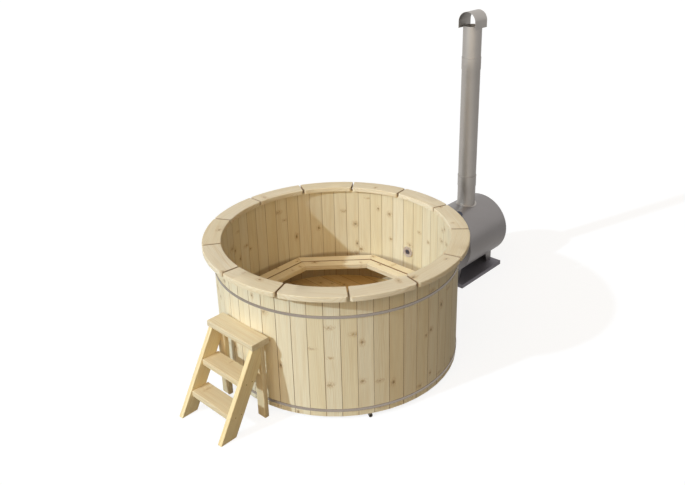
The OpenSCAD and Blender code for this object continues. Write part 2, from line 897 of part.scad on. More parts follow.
// The door is a shallow folded pan with straps to its two hinges
module fire_door() {
    color("dimgray")
    difference() {
        union() {
            difference() {
                at_axis(door_face - door_t - door_skirt)
                    plate_x(door_w, door_h, door_t + door_skirt, door_corner_r);
                at_axis(door_x - door_skirt - eps)
                    plate_x(door_w - 2 * door_sheet, door_h - 2 * door_sheet, door_skirt + eps,
                            door_corner_r - door_sheet);
            }
            for (z = hinge_zs) translate([0, 0, z + knuckle_l + joint_gap]) {
                translate([hinge_x, hinge_y, 0]) cylinder(r = knuckle_r, h = knuckle_l - joint_gap);
                translate([door_face - joint_gap, hinge_y - knuckle_r / 2 - strap_l, 0])
                    cube([strap_t + joint_gap, strap_l + knuckle_r / 2, knuckle_l - joint_gap]);
            }
            translate([door_face - eps, latch_y, axis_z]) {
                rod_x(stud_r, eps + 2 * seat_gap + latch_t + 3);
                translate([eps + 2 * seat_gap + latch_t, 0, 0]) rod_x(stud_head_r, 3);
            }
            translate([door_face - eps, 0, damper_z]) {
                rod_x(damper_stud_r, eps + 2 * seat_gap + damper_t + 3);
                translate([eps + 2 * seat_gap + damper_t, 0, 0]) rod_x(damper_stud_r + 4, 3);
            }
        }
        for (z = hinge_zs) translate([hinge_x, hinge_y, z + knuckle_l - eps])
            cylinder(d = hinge_pin_d + 2 * run_gap, h = knuckle_l + 2 * eps);
        damper_holes(door_x - eps, door_t + 2 * eps);
    }
}

// The four air holes, which the door and its damper share
module damper_holes(x, l) {
    for (a = [0:90:270]) translate([x, 0, damper_z]) rotate([a, 0, 0])
        translate([0, 0, vent_ring_r]) rod_x(vent_hole_r, l);
}

// A ring of seal inside the door, against the frame's edge
module door_seal() {
    color("lightslategray")
    difference() {
        at_axis(door_x - seal_t)
            plate_x(opening_w + 2 * frame_t + 8, opening_h + 2 * frame_t + 8, seal_t, door_corner_r);
        at_axis(door_x - seal_t - eps)
            plate_x(opening_w - 8, opening_h - 8, seal_t + 2 * eps, door_corner_r - 8);
    }
}

module hinge_pins() {
    color("silver")
    for (z = hinge_zs) translate([hinge_x, hinge_y, z]) {
        translate([0, 0, -3]) cylinder(d = hinge_pin_d, h = 2 * knuckle_l + 3 + seat_gap);
        translate([0, 0, 2 * knuckle_l + seat_gap]) cylinder(d = hinge_pin_d + 5, h = 4);
    }
}

// The latch bar stands up when it is open and turns down behind the keeper
module door_latch() {
    grip_r = 10;
    grip_l = 55;
    color("silver")
    translate([latch_x, latch_y, axis_z]) difference() {
        union() {
            rod_x(latch_hub_r, latch_t);
            translate([0, -latch_w / 2, 0]) cube([latch_t, latch_w, latch_l]);
            translate([0, 0, latch_l]) rod_x(grip_r, grip_l);
        }
        translate([-eps, 0, 0]) rod_x(stud_r + run_gap, latch_t + 2 * eps);
    }
}

// A disc with four holes that turns over the door's air holes
module air_damper() {
    color("silver")
    difference() {
        union() {
            translate([door_face + seat_gap, 0, damper_z]) rod_x(damper_d / 2, damper_t);
            translate([door_face + seat_gap, 0, damper_z]) rotate([45, 0, 0])
                translate([0, 0, damper_d / 2 - 9]) rod_x(5, 18);
        }
        translate([door_face - eps, 0, damper_z]) rod_x(damper_stud_r + run_gap, damper_t + 2 * eps);
        damper_holes(door_face - eps, damper_t + 3 * eps);
    }
}

// A short air vent through the shell, with a wide cap
module air_vent() {
    neck_top = shell_r + 8;
    color("darkslategray") {
        difference() {
            at_vent() cylinder(r = vent_neck_r, h = neck_top + eps);
            at_axis(near_x) rod_x(shell_r - shell_t - 5, shell_l);
        }
        difference() {
            at_vent() {
                cylinder(r = vent_neck_r + 6, h = neck_top);
                translate([0, 0, neck_top]) cylinder(d = vent_d, h = 20);
                translate([0, 0, neck_top + 20]) cylinder(d1 = vent_d, d2 = vent_d - 10, h = 5);
            }
            at_axis(near_x) rod_x(shell_r + seat_gap, shell_l);
        }
    }
}

// ---- feet and base ----

// A foot of folded sheet: a web under the heater's end and a flange at each side
module foot() {
    top = axis_z;
    long = foot_l + foot_flare * (top - base_h);
    difference() {
        translate([0, foot_w / 2, 0]) rotate([90, 0, 0]) linear_extrude(foot_w)
            polygon([[0, base_h], [foot_l, base_h], [long, top], [0, top]]);
        translate([base_sheet, -foot_w / 2 + base_sheet, base_h - eps])
            cube([2 * long, foot_w - 2 * base_sheet, top]);
        translate([-eps, 0, axis_z]) rod_x(shell_r + seat_gap, 3 * long);
    }
}

module heater_feet() {
    color("gray") {
        translate([near_x, 0, 0]) foot();
        translate([far_x, 0, 0]) mirror([1, 0, 0]) foot();
    }
}

// The base is a sheet folded down along its four edges
module heater_base() {
    l = shell_l + 2 * base_margin;
    color("darkslategray")
    translate([near_x - base_margin + l / 2, 0, 0]) difference() {
        linear_extrude(base_h) rounded_rect(l, base_w, 6);
        translate([0, 0, -eps]) linear_extrude(base_h - base_sheet + eps)
            rounded_rect(l - 2 * base_sheet, base_w - 2 * base_sheet, 6 - base_sheet);
    }
}

// ---- chimney ----

// A length of chimney pipe from z0 up to its socket, whose mouth is at z1
module flue_socketed(z0, z1) {
    foot_z = z1 - socket_l;
    translate([flue_x, 0, 0]) rotate_extrude() polygon([
        [flue_in, z0], [flue_r, z0], [flue_r, foot_z - socket_taper], [socket_out, foot_z],
        [socket_out, z1 - 5], [socket_out + socket_bead, z1 - 3], [socket_out + socket_bead, z1],
        [socket_in, z1], [socket_in, foot_z], [flue_in, foot_z]]);
}

module lower_flue() {
    color("silver")
    difference() {
        flue_socketed(axis_z, lower_mouth);
        at_axis(near_x - eps) rod_x(shell_r + seat_gap, shell_l + 2 * eps);
    }
}

// A flange round the foot of the chimney, rolled to the heater's curve
module flue_flange() {
    color("silver")
    difference() {
        intersection() {
            at_flue(axis_z) cylinder(r = flue_r + flange_w, h = shell_d);
            at_axis(near_x) rod_x(shell_r + seat_gap + flange_t, shell_l);
        }
        at_axis(near_x - eps) rod_x(shell_r + seat_gap, shell_l + 2 * eps);
        at_flue(axis_z - eps) cylinder(r = flue_r + fit_gap, h = shell_d + 2 * eps);
    }
}

module middle_flue() { color("silver") flue_socketed(lower_mouth - socket_l + seat_gap, upper_mouth); }

module upper_flue() {
    foot_z = upper_mouth - socket_l + seat_gap;
    color("silver")
    at_flue(foot_z) difference() {
        cylinder(r = flue_r, h = flue_top - foot_z);
        translate([0, 0, -eps]) cylinder(r = flue_in, h = flue_top - foot_z + 2 * eps);
    }
}

// A half-round hood, open at both ends, held off the pipe by a stud on each side
module cowl() {
    rise = cowl_side_h;
    color("silver")
    at_flue(cowl_z) {
        translate([-cowl_l / 2, 0, 0]) rotate([90, 0, 90]) linear_extrude(cowl_l) difference() {
            cowl_outline(cowl_r, rise);
            translate([0, -eps]) cowl_outline(cowl_r - cowl_t, rise + eps);
        }
        for (s = [-1, 1]) translate([0, s * (flue_r + seat_gap), cowl_drop / 2])
            rotate([-90 * s, 0, 0]) cylinder(r = 6, h = cowl_clear - seat_gap - cowl_t / 2);
    }
}

module cowl_outline(r, rise) {
    translate([-r, 0]) square([2 * r, rise]);
    translate([0, rise]) intersection() {
        circle(r);
        translate([-r, -eps / 2]) square([2 * r, 2 * r]);
    }
}

// ---- ladder ----

// A side board, cut level at its foot and under the top tread, and upright at the leg
module stringer(side) {
    y = side * (ladder_w - stringer_t) / 2;
    w = stringer_foot * cos(ladder_lean);
    color("burlywood")
    difference() {
        intersection() {
            translate([stringer_front, y, 0]) rotate([0, ladder_lean, 0]) translate([w / 2, 0, -w])
                linear_extrude(2 * ladder_h) rounded_rect(w, stringer_t, ladder_edge_r);
            translate([stringer_front - w, y - stringer_t, 0])
                cube([leg_front - joint_gap - stringer_front + w, 2 * stringer_t, tread_under - joint_gap]);
        }
        screws(fit_gap);
    }
}

// Where a lower tread's front edge is
function tread_front(z) = stringer_front + z * lean_run + tread_inset;

// A board that lies across the ladder, with its long edges eased
module tread(x0, d, z, half_w) {
    translate([x0 + d / 2, half_w, z - tread_t / 2]) rotate([90, 0, 0])
        linear_extrude(2 * half_w) rounded_rect(d, tread_t, ladder_edge_r);
}

module top_tread() {
    color("wheat")
    tread(ladder_back - top_tread_d, top_tread_d, ladder_h, ladder_w / 2 + tread_overhang);
}

module low_tread(z) {
    color("wheat")
    difference() {
        tread(tread_front(z), tread_d, z, ladder_w / 2 - stringer_t - joint_gap);
        screws(fit_gap);
    }
}

// Upright legs behind the side boards
module rear_legs() {
    color("burlywood")
    for (s = [-1, 1])
        translate([leg_front + leg_d / 2, s * (ladder_w - leg_w) / 2, 0])
            linear_extrude(tread_under - joint_gap) rounded_rect(leg_d, leg_w, ladder_edge_r);
}

// Screws through the side boards into the ends of the two lower treads, or, with some
// extra room round them, the holes that they go into
module screws(room = 0) {
    head_h = 3;
    for (z = [middle_tread_z, lower_tread_z], share = [0.25, 0.6], s = [-1, 1])
        translate([tread_front(z) + share * tread_d, s * (ladder_w / 2 - screw_l), z - tread_t / 2])
            rotate([-90 * s, 0, 0]) {
                translate([0, 0, -room]) cylinder(r = screw_r + room, h = screw_l + 2 * room);
                translate([0, 0, screw_l - head_h - room])
                    cylinder(r1 = screw_r + room, r2 = screw_head_r + 2 * room, h = head_h + 2 * room);
            }
}

module ladder_screws() { color("silver") screws(); }

staves();
ported_stave();
for (i = [1:rim_count]) rim_board(i);
bands();
band_bolts();
floor_boards();
bearers();
bench_outer_planks();
bench_inner_planks();
bench_brackets();
port_fittings();
port_gaskets();
port_nuts();
water_pipes();
pipe_sleeves();
sleeve_clamps();
drain_fitting();
drain_nut();
drain_plug();
drain_pipe();
heater_shell();
near_end_plate();
far_end_plate();
door_frame();
latch_keeper();
firebox();
flue_throat();
grate();
fire_door();
door_seal();
hinge_pins();
door_latch();
air_damper();
air_vent();
heater_feet();
heater_base();
lower_flue();
flue_flange();
middle_flue();
upper_flue();
cowl();
stringer(1);  // left_stringer
stringer(-1);  // right_stringer
top_tread();
low_tread(middle_tread_z);  // middle_tread
low_tread(lower_tread_z);  // lower_tread
rear_legs();
ladder_screws();
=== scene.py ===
# Wooden hot tub with a wood-fired heater and a ladder: looks, light and camera.
import bpy
import math
import numpy as np
from mathutils import Matrix, Vector

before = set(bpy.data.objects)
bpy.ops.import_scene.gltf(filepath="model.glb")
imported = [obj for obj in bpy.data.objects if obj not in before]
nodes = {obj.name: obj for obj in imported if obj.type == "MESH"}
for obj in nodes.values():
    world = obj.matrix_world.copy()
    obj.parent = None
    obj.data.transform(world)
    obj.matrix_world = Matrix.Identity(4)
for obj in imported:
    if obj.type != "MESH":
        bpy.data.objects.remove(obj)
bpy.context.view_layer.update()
print("frame loaded:", len(nodes), "nodes")

mm = 0.001   # the scene's unit is the metre


def linear(code):
    # sRGB hex to linear: a channel up to 0.04045 is divided by 12.92, one above it is
    # ((c + 0.055) / 1.055) to the power 2.4
    parts = [int(code[i:i + 2], 16) / 255 for i in (1, 3, 5)]
    return tuple(c / 12.92 if c <= 0.04045 else ((c + 0.055) / 1.055) ** 2.4 for c in parts) + (1.0,)


def perMetre(sizes):
    # a pattern's sizes along x, y and z to its counts per metre: one over each size
    return tuple(1 / size for size in sizes)


def addNode(tree, kind, sockets=None, **options):
    # One node with its options. A socket takes a value, another node's output as a link, or a whole node,
    # which stands for its first output.
    node = tree.nodes.new(kind)
    for key, value in options.items():
        setattr(node, key, value)
    for key, value in (sockets or {}).items():
        if isinstance(value, bpy.types.Node):
            value = value.outputs[0]
        if isinstance(value, bpy.types.NodeSocket):
            tree.links.new(value, node.inputs[key])
        else:
            node.inputs[key].default_value = value
    return node


def newMaterial(name):
    material = bpy.data.materials.new(name)
    material.use_nodes = True
    material.node_tree.nodes.clear()
    return material, material.node_tree


def dress(names, material):
    # gives CAD nodes a material
    for name in names:
        slots = nodes[name].material_slots
        if len(slots) == 0:
            nodes[name].data.materials.append(material)
        for place in slots:
            place.material = material


# camera at the photograph's viewing angle
camera = {
    "position": (-3.572, -3.503, 3.330),
    "heading": 43.77,       # degrees from +X towards +Y
    "pitchDown": 21.37,
    "roll": -1.53,
    "lens": 39.4,           # mm, on a sensor this many mm wide
    "sensorWidth": 36,
    "shiftY": -0.09,
    "clip": (0.05, 300),
}


def makeCamera(look):
    # looks along the heading, tilted down by the pitch, then rolled about its own line of sight
    data = bpy.data.cameras.new("photoCamera")
    data.lens = look["lens"]
    data.sensor_width = look["sensorWidth"]
    data.shift_y = look["shiftY"]
    data.clip_start, data.clip_end = look["clip"]
    item = bpy.data.objects.new("photoCamera", data)
    bpy.context.collection.objects.link(item)
    heading, pitch = math.radians(look["heading"]), math.radians(look["pitchDown"])
    level = math.cos(pitch)
    forward = Vector((math.cos(heading) * level, math.sin(heading) * level, -math.sin(pitch)))
    turn = forward.to_track_quat("-Z", "Y").to_matrix().to_4x4()
    turn = turn @ Matrix.Rotation(math.radians(look["roll"]), 4, "Z")
    item.matrix_world = Matrix.Translation(look["position"]) @ turn
    bpy.context.scene.camera = item


makeCamera(camera)
print("camera placed")


# round solids are shaded smooth
smoothing = {"merge": 0.005 * mm, "sharpAngle": 28}


def smoothGroup(look):
    # merges the loose triangles, shades the faces smooth and keeps edges sharp above the angle
    tree = bpy.data.node_groups.new("smoothRounds", "GeometryNodeTree")
    tree.interface.new_socket("Geometry", in_out="INPUT", socket_type="NodeSocketGeometry")
    tree.interface.new_socket("Geometry", in_out="OUTPUT", socket_type="NodeSocketGeometry")
    start = addNode(tree, "NodeGroupInput")
    merged = addNode(tree, "GeometryNodeMergeByDistance", {"Geometry": start, "Distance": look["merge"]})
    faces = addNode(tree, "GeometryNodeSetShadeSmooth", {"Geometry": merged, "Shade Smooth": True},
                    domain="FACE")
    angle = addNode(tree, "GeometryNodeInputMeshEdgeAngle").outputs["Unsigned Angle"]
    sharp = addNode(tree, "FunctionNodeCompare", {0: angle, 1: math.radians(look["sharpAngle"])},
                    data_type="FLOAT", operation="GREATER_THAN")
    edges = addNode(tree, "GeometryNodeSetShadeSmooth",
                    {"Geometry": faces, "Selection": sharp, "Shade Smooth": False}, domain="EDGE")
    addNode(tree, "NodeGroupOutput", {0: edges})
    return tree


smoothTree = smoothGroup(smoothing)
for item in nodes.values():
    item.modifiers.new("smoothRounds", "NODES").node_group = smoothTree
print("rounds smoothed")


# planed spruce boards, each with its own grain, tone and knots
def boardShare(tree, side, step, first):
    # A board's number is side / step + first, rounded. With it go the place from the board's middle and the
    # distance to the nearest joint, step / 2 less that place, both in side's own unit.
    turns = addNode(tree, "ShaderNodeMath", {0: side, 1: 1 / step, 2: first}, operation="MULTIPLY_ADD")
    number = addNode(tree, "ShaderNodeMath", {0: turns}, operation="ROUND")
    share = addNode(tree, "ShaderNodeMath", {0: turns, 1: number}, operation="SUBTRACT")
    local = addNode(tree, "ShaderNodeMath", {0: share, 1: step}, operation="MULTIPLY")
    off = addNode(tree, "ShaderNodeMath", {0: share}, operation="ABSOLUTE")
    joint = addNode(tree, "ShaderNodeMath", {0: off, 1: -step, 2: step / 2}, operation="MULTIPLY_ADD")
    return number, local, joint


def rowPlace(tree, place, look):
    # boards side by side along one axis, after a turn about Y
    turn = (0, math.radians(look.get("lean", 0)), 0)
    place = addNode(tree, "ShaderNodeMapping", {"Vector": place, "Rotation": turn})
    axes = addNode(tree, "ShaderNodeSeparateXYZ", {0: place}).outputs
    number, local, joint = boardShare(tree, axes[look["side"]], look["step"], look.get("start", 0))
    pick = {"X": axes["X"], "Y": axes["Y"], "Z": axes["Z"], "local": local}
    across = pick[look["across"]]
    if "stagger" in look:
        across = addNode(tree, "ShaderNodeMath", {0: number, 1: -look["stagger"], 2: across},
                         operation="MULTIPLY_ADD")
    return {"across": across, "along": pick[look["along"]], "depth": pick[look["depth"]],
            "number": number, "joint": joint}


def splitRows(tree, across, number, joint, look):
    # Two rows of planks, one inside the other, with a gap between them. The outer row has numbers of its
    # own. The gap is a joint as well: its distance is |across - split| - rowGap.
    outer = addNode(tree, "ShaderNodeMath", {0: across, 1: look["split"]}, operation="GREATER_THAN")
    number = addNode(tree, "ShaderNodeMath", {0: outer, 1: look["rowNumbers"], 2: number},
                     operation="MULTIPLY_ADD")
    row = addNode(tree, "ShaderNodeMath", {0: across, 1: look["split"]}, operation="SUBTRACT")
    row = addNode(tree, "ShaderNodeMath", {0: row}, operation="ABSOLUTE")
    row = addNode(tree, "ShaderNodeMath", {0: row, 1: look["rowGap"]}, operation="SUBTRACT")
    joint = addNode(tree, "ShaderNodeMath", {0: joint, 1: look["rowGap"] / 2}, operation="ADD")
    return number, addNode(tree, "ShaderNodeMath", {0: joint, 1: row}, operation="MINIMUM")


def roundPlace(tree, place, look):
    # Boards side by side round the tub's axis: the angle is atan2(y, x), the radius the length of (x, y).
    # Across a stave is angle times radius. Across a flat board is radius times the angle's cosine, along it
    # is radius times the sine.
    axes = addNode(tree, "ShaderNodeSeparateXYZ", {0: place}).outputs
    angle = addNode(tree, "ShaderNodeMath", {0: axes["Y"], 1: axes["X"]}, operation="ARCTAN2")
    first = -look.get("first", 0) / look["step"]
    number, local, joint = boardShare(tree, angle, math.radians(look["step"]), first)
    flat = addNode(tree, "ShaderNodeCombineXYZ", {0: axes["X"], 1: axes["Y"]})
    radius = addNode(tree, "ShaderNodeVectorMath", {0: flat}, operation="LENGTH").outputs["Value"]
    joint = addNode(tree, "ShaderNodeMath", {0: joint, 1: radius}, operation="MULTIPLY")
    if look["kind"] == "staves":
        across = addNode(tree, "ShaderNodeMath", {0: local, 1: radius}, operation="MULTIPLY")
        return {"across": across, "along": axes["Z"], "depth": radius, "number": number, "joint": joint}
    cosine = addNode(tree, "ShaderNodeMath", {0: local}, operation="COSINE")
    sine = addNode(tree, "ShaderNodeMath", {0: local}, operation="SINE")
    across = addNode(tree, "ShaderNodeMath", {0: cosine, 1: radius}, operation="MULTIPLY")
    along = addNode(tree, "ShaderNodeMath", {0: sine, 1: radius}, operation="MULTIPLY")
    if "split" in look:
        number, joint = splitRows(tree, across, number, joint, look)
    return {"across": across, "along": along, "depth": axes["Z"], "number": number, "joint": joint}


def knotField(tree, board, seed, look):
    # One chance of a knot per cell of board, the cells shifted from board to board. The cell draws the
    # knot's centre, width, length, radius and strength. Its distance is the length of (place - centre) /
    # (width, length), made uneven by a noise. The knot is full within a share of its radius and gone at
    # the radius, and its halo reaches further.
    cellAcross, cellAlong = look["knotCell"]
    u = addNode(tree, "ShaderNodeMath", {0: board["across"], 1: 1 / cellAcross}, operation="MULTIPLY")
    v = addNode(tree, "ShaderNodeMath", {0: board["along"], 1: 1 / cellAlong}, operation="MULTIPLY")
    v = addNode(tree, "ShaderNodeMath", {0: seed, 1: look["knotShift"], 2: v}, operation="MULTIPLY_ADD")
    spot = addNode(tree, "ShaderNodeCombineXYZ", {0: u, 1: v})
    cell = addNode(tree, "ShaderNodeTexVoronoi",
                   {"Vector": spot, "Scale": 1.0, "Randomness": look["knotScatter"]},
                   voronoi_dimensions="2D").outputs
    draw = addNode(tree, "ShaderNodeSeparateColor", {0: cell["Color"]}).outputs
    drawn = {}
    for key, source in (("knotWide", "Blue"), ("knotTall", "Blue"), ("knotRadius", "Green"),
                        ("knotForce", "Blue")):
        low, high = look[key]
        drawn[key] = addNode(tree, "ShaderNodeMapRange",
                             {"Value": draw[source], "To Min": low, "To Max": high})

    # a knot whose centre is off its board is left out
    gap = addNode(tree, "ShaderNodeVectorMath", {0: spot, 1: cell["Position"]}, operation="SUBTRACT")
    gap = addNode(tree, "ShaderNodeVectorMath", {0: gap, 1: (cellAcross, cellAlong, 0)},
                  operation="MULTIPLY")
    side = addNode(tree, "ShaderNodeSeparateXYZ", {0: gap})
    centre = addNode(tree, "ShaderNodeMath", {0: board["across"], 1: side}, operation="SUBTRACT")
    inside = addNode(tree, "ShaderNodeMath", {0: centre, 1: look["middle"], 2: look["keep"]},
                     operation="COMPARE")
    there = addNode(tree, "ShaderNodeMath", {0: draw["Red"], 1: 1 - look["knotShare"]},
                    operation="GREATER_THAN")
    there = addNode(tree, "ShaderNodeMath", {0: there, 1: inside}, operation="MULTIPLY")

    stretch = addNode(tree, "ShaderNodeCombineXYZ", {0: drawn["knotWide"], 1: drawn["knotTall"], 2: 1.0})
    gap = addNode(tree, "ShaderNodeVectorMath", {0: gap, 1: stretch}, operation="DIVIDE")
    far = addNode(tree, "ShaderNodeVectorMath", {0: gap}, operation="LENGTH").outputs["Value"]
    uneven = addNode(tree, "ShaderNodeTexNoise",
                     {"Vector": spot, "Scale": look["unevenPerCell"], "Detail": 3.0})
    far = addNode(tree, "ShaderNodeMath", {0: uneven, 1: look["uneven"], 2: far}, operation="MULTIPLY_ADD")
    far = addNode(tree, "ShaderNodeMath", {0: far, 1: look["uneven"] / 2}, operation="SUBTRACT")
    radius = drawn["knotRadius"]
    core = addNode(tree, "ShaderNodeMath", {0: radius, 1: look["knotCore"]}, operation="MULTIPLY")
    reach = addNode(tree, "ShaderNodeMath", {0: radius, 1: look["haloReach"]}, operation="MULTIPLY")
    halo = addNode(tree, "ShaderNodeMapRange", {"Value": far, "From Min": reach, "From Max": core},
                   interpolation_type="SMOOTHSTEP")
    halo = addNode(tree, "ShaderNodeMath", {0: halo, 1: there}, operation="MULTIPLY")
    force = addNode(tree, "ShaderNodeMath", {0: drawn["knotForce"], 1: there}, operation="MULTIPLY")
    knot = addNode(tree, "ShaderNodeMapRange", {"Value": far, "From Min": radius, "From Max": core})
    knot = addNode(tree, "ShaderNodeMath", {0: knot, 1: force}, operation="MULTIPLY")
    return {"side": side, "halo": halo, "knot": knot, "uneven": uneven}


def grainField(tree, board, chance, knots, look):
    # Growth rings are a sine of (lane + tilt x depth + drift) / ring width, raised to a power so that the
    # late wood is narrow. The lane is the place across, parted round a knot. Fibres and streaks are noises
    # stretched along the board.
    push = addNode(tree, "ShaderNodeMath", {0: knots["side"], 1: knots["halo"]}, operation="MULTIPLY")
    lane = addNode(tree, "ShaderNodeMath", {0: board["across"], 1: push}, operation="SUBTRACT")
    spread = addNode(tree, "ShaderNodeCombineXYZ", {0: lane, 1: board["along"], 2: board["depth"]})
    shift = (look["boardShift"],) * 3
    moved = addNode(tree, "ShaderNodeVectorMath", {0: chance, 1: shift, 2: spread},
                    operation="MULTIPLY_ADD")
    noises = {}
    for key, detail in (("drift", 2.0), ("fibre", 3.0), ("streak", 3.0)):
        scaled = addNode(tree, "ShaderNodeVectorMath", {0: moved, 1: perMetre(look[key + "Size"])},
                         operation="MULTIPLY")
        noises[key] = addNode(tree, "ShaderNodeTexNoise", {"Vector": scaled, "Scale": 1.0, "Detail": detail})
    ring = addNode(tree, "ShaderNodeMath", {0: board["depth"], 1: look["ringTilt"], 2: lane},
                   operation="MULTIPLY_ADD")
    ring = addNode(tree, "ShaderNodeMath", {0: noises["drift"], 1: look["ringDrift"], 2: ring},
                   operation="MULTIPLY_ADD")
    ring = addNode(tree, "ShaderNodeMath", {0: ring, 1: math.tau / look["ringWidth"]}, operation="MULTIPLY")
    wave = addNode(tree, "ShaderNodeMath", {0: ring}, operation="SINE")
    wave = addNode(tree, "ShaderNodeMath", {0: wave, 1: 0.5, 2: 0.5}, operation="MULTIPLY_ADD")
    late = addNode(tree, "ShaderNodeMath", {0: wave, 1: look["lateNarrow"]}, operation="POWER")
    return {"late": late, "fibre": noises["fibre"], "streak": noises["streak"]}


def woodColour(tree, tone, knots, grain, look):
    # From the board's own tone, between pale and golden: streaks, late wood, fibres, then each knot's
    # smudge and the knot.
    colour = addNode(tree, "ShaderNodeMix",
                     {"Factor": tone, "A": linear(look["pale"]), "B": linear(look["golden"])},
                     data_type="RGBA").outputs["Result"]
    low, high = look["streakRange"]
    streaks = addNode(tree, "ShaderNodeMapRange",
                      {"Value": grain["streak"], "From Min": low, "From Max": high, "To Max": look["streak"]})
    rings = addNode(tree, "ShaderNodeMath", {0: grain["late"], 1: look["late"]}, operation="MULTIPLY")
    for share in (streaks, rings):
        colour = addNode(tree, "ShaderNodeMix", {"Factor": share, "A": colour, "B": linear(look["deep"])},
                         data_type="RGBA").outputs["Result"]
    low, high = look["fibreRange"]
    light, dark = look["fibreTone"]
    fibres = addNode(tree, "ShaderNodeMapRange", {"Value": grain["fibre"], "From Min": low, "From Max": high,
                     "To Min": light, "To Max": dark})
    colour = addNode(tree, "ShaderNodeVectorMath", {0: colour, "Scale": fibres}, operation="SCALE")
    low, high = look["smudgeRange"]
    patchy = addNode(tree, "ShaderNodeMapRange",
                     {"Value": knots["uneven"], "From Min": low, "From Max": high, "To Max": look["smudge"]})
    smudge = addNode(tree, "ShaderNodeMath", {0: knots["halo"], 1: patchy}, operation="MULTIPLY")
    for share, key in ((smudge, "halo"), (knots["knot"], "knot")):
        colour = addNode(tree, "ShaderNodeMix", {"Factor": share, "A": colour, "B": linear(look[key])},
                         data_type="RGBA").outputs["Result"]
    return colour


def jointLine(tree, joint, luck, look):
    # full within half the line's width of a joint, gone at its whole width, and stronger at some boards
    line = addNode(tree, "ShaderNodeMapRange",
                   {"Value": joint, "From Min": look["seamWidth"], "From Max": look["seamWidth"] / 2})
    low, high = look["seamForce"]
    force = addNode(tree, "ShaderNodeMapRange", {"Value": luck, "To Min": low, "To Max": high})
    return addNode(tree, "ShaderNodeMath", {0: line, 1: force}, operation="MULTIPLY")


def innerFace(tree, board, colour, line, look):
    # the staves' inner face: fainter joints, a slightly darker tone as painted shade, and painted shade below
    # the bench
    low, high = look["innerFrom"]
    inner = addNode(tree, "ShaderNodeMapRange", {"Value": board["depth"], "From Min": low, "From Max": high})
    fade = addNode(tree, "ShaderNodeMapRange",
                   {"Value": inner, "To Min": 1.0, "To Max": look["innerSeam"]})
    line = addNode(tree, "ShaderNodeMath", {0: line, 1: fade}, operation="MULTIPLY")
    # painted shade: the whole inner face is made slightly darker
    paintedInnerShade = addNode(tree, "ShaderNodeMapRange",
                   {"Value": inner, "To Min": 1.0, "To Max": look["innerPaintedShade"]})
    colour = addNode(tree, "ShaderNodeVectorMath", {0: colour, "Scale": paintedInnerShade}, operation="SCALE")
    # painted shade below the bench: the inner face turns towards the knot's brown below the bench top
    low, high = look["paintedShadeBelow"]
    dark = addNode(tree, "ShaderNodeMapRange", {"Value": board["along"], "From Min": low, "From Max": high})
    for share in (inner, look["dark"]):
        dark = addNode(tree, "ShaderNodeMath", {0: dark, 1: share}, operation="MULTIPLY")
    colour = addNode(tree, "ShaderNodeMix", {"Factor": dark, "A": colour, "B": linear(look["knot"])},
                     data_type="RGBA").outputs["Result"]
    return colour, line


def spruce(name, look):
    # Planed, untreated spruce: pale cream with faint golden late wood, small brown knots in a warm smudge
    # and thin dark lines where boards meet. It is satin, and matt in the joints.
    material, tree = newMaterial(name)
    place = addNode(tree, "ShaderNodeTexCoord").outputs["Object"]
    board = rowPlace(tree, place, look) if look["kind"] == "row" else roundPlace(tree, place, look)
    seed = addNode(tree, "ShaderNodeMath", {0: board["number"], 1: look["seed"]}, operation="ADD")
    chance = addNode(tree, "ShaderNodeTexWhiteNoise", {"W": seed}, noise_dimensions="1D").outputs["Color"]
    draw = addNode(tree, "ShaderNodeSeparateColor", {0: chance}).outputs
    knots = knotField(tree, board, seed, look)
    grain = grainField(tree, board, chance, knots, look)
    colour = woodColour(tree, draw["Red"], knots, grain, look)
    line = jointLine(tree, board["joint"], draw["Green"], look)
    # the staves' inner face gets painted shade
    if look["kind"] == "staves":
        colour, line = innerFace(tree, board, colour, line, look)
    colour = addNode(tree, "ShaderNodeMix", {"Factor": line, "A": colour, "B": linear(look["seam"])},
                     data_type="RGBA").outputs["Result"]

    height = addNode(tree, "ShaderNodeMath", {0: grain["late"], 1: look["lateHeight"], 2: grain["fibre"]},
                     operation="MULTIPLY_ADD")
    bump = addNode(tree, "ShaderNodeBump",
                   {"Strength": look["bump"], "Distance": look["bumpDepth"], "Height": height})
    low, high = look["rough"]
    rough = addNode(tree, "ShaderNodeMapRange", {"Value": grain["fibre"], "To Min": low, "To Max": high})
    gloss = addNode(tree, "ShaderNodeMapRange", {"Value": line, "To Min": look["gloss"], "To Max": 0.0})
    shader = addNode(tree, "ShaderNodeBsdfPrincipled",
                     {"Base Color": colour, "Roughness": rough, "Normal": bump, "IOR": look["ior"],
                      "Specular IOR Level": gloss})
    addNode(tree, "ShaderNodeOutputMaterial", {0: shader})
    return material


